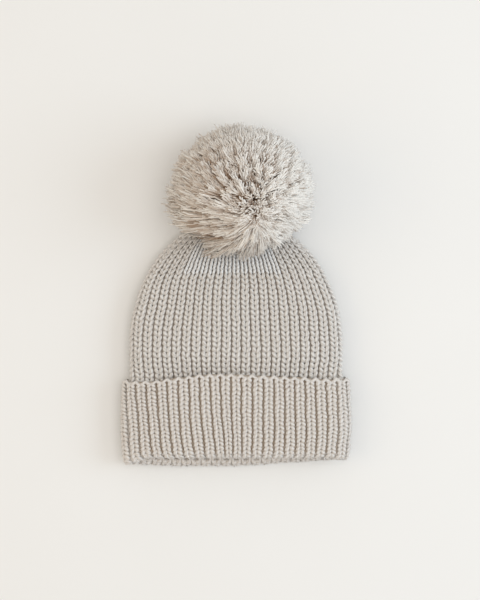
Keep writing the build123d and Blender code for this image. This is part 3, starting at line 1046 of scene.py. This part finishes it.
def pomPaths():
    # theta is a strand's angle from the parting and bearing its way round it, from the fall
    rng = np.random.default_rng(pom["seed"])
    centre, halfAxes = np.array(pom["centre"]), np.array(pom["halves"])
    flatX, flatY = pom["parting"][0] / halfAxes[0], pom["parting"][1] / halfAxes[1]
    pole = np.array([flatX, flatY, math.sqrt(1 - flatX ** 2 - flatY ** 2)])
    fall = np.array([*pom["fall"], 0.0])
    fall -= pole * fall.dot(pole)
    fall /= np.linalg.norm(fall)
    across = np.cross(pole, fall)
    degree = math.pi / 180

    tip, clump = tuftedTips(rng)
    count = len(tip)
    theta = np.arccos(np.clip(tip @ pole, -1, 1))
    bearing = np.arctan2(tip @ across, tip @ fall)
    falling = (0.5 + 0.5 * np.cos(bearing)) ** pom["fallSpread"]

    # bundles with gaps between them run out from the parting, strongest where the strands fall
    streak = (0.45 + 0.55 * falling) * smoothStep(1.9, 0.7, theta)
    phase = pom["bundles"] * bearing + 1.6 * np.sin(5 * theta) + 1.1 * np.sin(3 * bearing)
    bearing = bearing + pom["bunching"] * streak * np.sin(phase) / pom["bundles"]
    gap = streak * np.maximum(0, np.cos(phase)) ** 4
    tip = (np.cos(theta)[:, None] * pole + np.sin(theta)[:, None]
           * (np.cos(bearing)[:, None] * fall + np.sin(bearing)[:, None] * across))

    # every root lies back towards the parting
    lean = (pom["leanBack"] + pom["leanInFan"] * falling) * degree
    lean = lean * np.minimum(1, theta / (lean + 4 * degree)) * (1 - 0.75 * smoothStep(1.2, 2.2, theta))
    lean = lean * rng.uniform(0.75, 1.15, count) * rng.uniform(0.85, 1.15, pom["clumps"])[clump]

    # how far out each strand reaches, as a share of the ball
    clumpLength = rng.normal(0, pom["clumpLength"], pom["clumps"])[clump]
    tier = np.sin(theta / (pom["tier"] * degree) * 2 * math.pi + 1.8 * np.sin(2 * bearing + 1.0))
    tier = tier * (1 - 0.7 * falling)
    compass = np.degrees(np.arctan2(tip[:, 1], tip[:, 0]))
    notch = bump(pom["notch"], pom["notchWidth"], compass) * smoothStep(0.75, 0.2, tip[:, 2])
    lumps = sphereDirections(pom["lumps"], rng, 3.0)
    swell = rng.normal(0, pom["lumpHeight"], pom["lumps"])
    lump = (np.exp((tip @ lumps.T - 1) * pom["lumpSharpness"]) * swell).sum(axis=1)
    far = (1.0 + clumpLength + pom["tierDepth"] * tier - pom["notchDepth"] * notch + lump
           - np.abs(rng.normal(0, pom["ragged"], count)))
    far -= (pom["partingDepth"] * np.exp(-(theta / (pom["partingWidth"] * degree)) ** 2)
            + pom["gapDepth"] * gap)
    far += pom["fanWave"] * falling * np.sin(9.7 * bearing + 0.8)
    far += pom["strayLength"] * (rng.random(count) > 1 - pom["strayShare"])
    far += pom["longest"] * falling * smoothStep(0.75, 1.25, theta) * rng.random(count) ** 1.5
    near = np.minimum(far - pom["shortest"], pom["root"] + pom["rootInFan"] * falling
                      * smoothStep(1.7, 0.5, theta) * rng.uniform(0.5, 1.0, count))

    share = np.linspace(0, 1, pom["points"])
    turn = lean[:, None] * (1 - share) ** 1.25
    reach = near[:, None] + (far - near)[:, None] * (1 - (1 - share) ** 1.5)
    sway = rng.normal(0, pom["sway"], (count, 1, 3)) * share[None, :, None] ** 2
    sway = sway - (rng.normal(0, pom["clumpSway"], (pom["clumps"], 1, 3))[clump]
                   * (1 - share[None, :, None]))
    paths = np.empty((count, pom["points"], 3))
    for k in range(pom["points"]):
        paths[:, k] = turnedTowards(tip, pole, turn[:, k]) * reach[:, k, None]
    paths = centre + (paths + sway) * halfAxes

    # laid on the crown and on the table
    under = sweptTop(paths[..., 0].ravel(), paths[..., 1].ravel()).reshape(paths.shape[:2])
    least = np.where(under > 0, under + pom["lay"], pom["floorGap"])
    least = least + rng.uniform(0, pom["laySpread"], (count, 1))
    paths[..., 2] = np.maximum(paths[..., 2], least)
    paths = clearOfTip(paths)

    # the clump and strand terms are the yarn's own tone, which differs at random; the gap, notch and left
    # terms are painted shade, and the tier term is painted shade and highlight over the rings of tufts
    tone = (rng.normal(0.0, pomShadeAndTone["clump"], pom["clumps"])[clump]
            + rng.normal(0, pomShadeAndTone["strand"], count) * (1 + falling))
    tone = (tone + pomShadeAndTone["fan"] * falling + pomShadeAndTone["gap"] * gap + pomShadeAndTone["notch"] * notch
            + pomShadeAndTone["tier"] * tier + pomShadeAndTone["left"] * smoothStep(0.2, -0.8, tip[:, 0]))
    # painted shade, deeper towards the middle of the ball and towards each strand's root
    depth = smoothStep(1.0, 0.62, reach) + pomShadeAndTone["root"] * (1 - share) ** 2 + tone[:, None]
    thick = np.broadcast_to(1.0 - pom["thinning"] * share ** 2, depth.shape)
    return paths, np.clip(depth, 0, 1), thick


def softenNormals(mesh):
    # strands take light as the whole ball does, not each as a hard rod
    count = len(mesh.vertices)
    place, normal = np.empty(count * 3), np.empty(count * 3)
    mesh.vertices.foreach_get("co", place)
    mesh.vertices.foreach_get("normal", normal)
    outward = (place.reshape(-1, 3) / mm - pom["centre"]) / np.square(pom["halves"])
    outward /= np.linalg.norm(outward, axis=1)[:, None]
    ownShare, ballShare = pom["softness"]
    mixed = ownShare * normal.reshape(-1, 3) + ballShare * outward
    mixed /= np.maximum(np.linalg.norm(mixed, axis=1), 1e-6)[:, None]
    mesh.normals_split_custom_set_from_vertices(mixed.tolist())


# Dark is the colour of the painted shade deep in the ball, and of the strands' random tone
pomYarn = yarnMaterial("pomYarn", {
    "Light": (0.93, 0.895, 0.85, 1), "Dark": (0.36, 0.21, 0.11, 1), "Plies": 1.0, "Twist": 0.3,
    "Shade": 0.95, "Fibre": 0.12, "Groove": 0.04}, strength=0.15, sheen=0.35)
strandSides = 3
paths, depth, thick = pomPaths()
print("pom strands", len(paths))
for k in range(pom["pieces"]):
    part = slice(k, None, pom["pieces"])
    source = pathMesh(paths[part] * mm, {"depth": depth[part], "thick": thick[part]})
    mesh = runTree(sweepYarn, source, {
        "Radius": pom["radius"] * mm, "Sides": strandSides, "Caps": True, "Yarn": pomYarn})
    yarnMaps(mesh, pom["points"] * strandSides, strandSides)
    softenNormals(mesh)
    linkPiece("pomStrands_" + str(k + 1), mesh, "pom", ["pom_strands"], "pom_yarn")

# a ball inside, painted dark brown as shade, so that no light shows between the strands
heart = dict(
    share=0.66,                 # of the pom
    deep=(0.16, 0.10, 0.06, 1),
    pale=(0.34, 0.23, 0.15, 1),
    grain=600,
    roughness=0.95,
    shine=0.5,
    segments=48,
    rings=24,
)


def heartMesh():
    bpy.ops.mesh.primitive_uv_sphere_add(segments=heart["segments"], ring_count=heart["rings"], radius=1.0)
    ball = bpy.context.object
    mesh = ball.data
    bpy.data.objects.remove(ball)
    points = np.empty(len(mesh.vertices) * 3)
    mesh.vertices.foreach_get("co", points)
    points = points.reshape(-1, 3) * pom["halves"] * heart["share"] + pom["centre"]
    points[:, 2] = np.maximum(points[:, 2], sweptTop(points[:, 0], points[:, 1]) + pom["lay"])
    points = clearOfTip(points)
    mesh.vertices.foreach_set("co", (points * mm).astype(np.float32).ravel())
    mesh.polygons.foreach_set("use_smooth", [True] * len(mesh.polygons))
    mesh.materials.clear()
    mesh.materials.append(grainMaterial("pomHeart", heart))
    return mesh


linkPiece("pomHeart", heartMesh(), "pom", ["pom_strands"], "pom_yarn")
print("pom ready")


# floor, light and camera

table = dict(
    size=6,
    grain=9.0,
    deep=(0.818, 0.809, 0.797, 1),
    pale=(0.832, 0.825, 0.816, 1),
    roughness=0.9,
    shine=0.1,
)
lights = dict(
    ceiling=dict(place=(0.40, -0.05, 2.2), size=1.6, energy=11.5, colour=(1.0, 0.99, 0.97)),
    window=dict(place=(1.6, 0.05, 1.0), size=1.3, energy=12.6, colour=(0.73, 0.88, 1.0)),
    bounce=dict(place=(-1.5, 0.0, 1.1), size=1.5, energy=5.4, colour=(1.0, 0.79, 0.50)),
)
room = dict(colour=(1.0, 0.97, 0.925, 1), strength=0.655)
view = dict(
    height=1.50,                # camera above the table
    middle=(0.0034, -0.0026),
    spanY=0.520,                # what the view's long side covers at the hat's upper face
    level=0.026,                # height of that face
    sensor=24,
)


def buildTable():
    bpy.ops.mesh.primitive_plane_add(size=table["size"], location=(0, 0, 0))
    floor = bpy.context.object
    floor.name = "floor"
    floor.data.materials.append(grainMaterial("paleTable", table))


def addLight(name, place, size, energy, colour):
    # a round soft light that points at the middle of the hat
    data = bpy.data.lights.new(name, "AREA")
    data.shape = "DISK"
    data.size = size
    data.energy = energy
    data.color = colour
    lamp = bpy.data.objects.new(name, data)
    lamp.location = place
    lamp.rotation_euler = (-Vector(place)).to_track_quat("-Z", "Y").to_euler()
    scene.collection.objects.link(lamp)


def addCamera():
    data = bpy.data.cameras.new("camera")
    data.sensor_fit = "VERTICAL"
    data.sensor_height = view["sensor"]
    data.lens = view["sensor"] * (view["height"] - view["level"]) / view["spanY"]
    camera = bpy.data.objects.new("camera", data)
    camera.location = (*view["middle"], view["height"])
    scene.collection.objects.link(camera)
    scene.camera = camera


buildTable()
for name, look in lights.items():
    addLight(name, **look)
world = bpy.data.worlds.new("room")
world.use_nodes = True
world.node_tree.nodes["Background"].inputs["Color"].default_value = room["colour"]
world.node_tree.nodes["Background"].inputs["Strength"].default_value = room["strength"]
scene.world = world
scene.view_settings.view_transform = "Standard"
addCamera()
print("stage ready")

triangles = 0
for piece in scene.objects:
    if piece.type == "MESH":
        triangles += sum(len(face.vertices) - 2 for face in piece.data.polygons)
print("triangles", triangles)
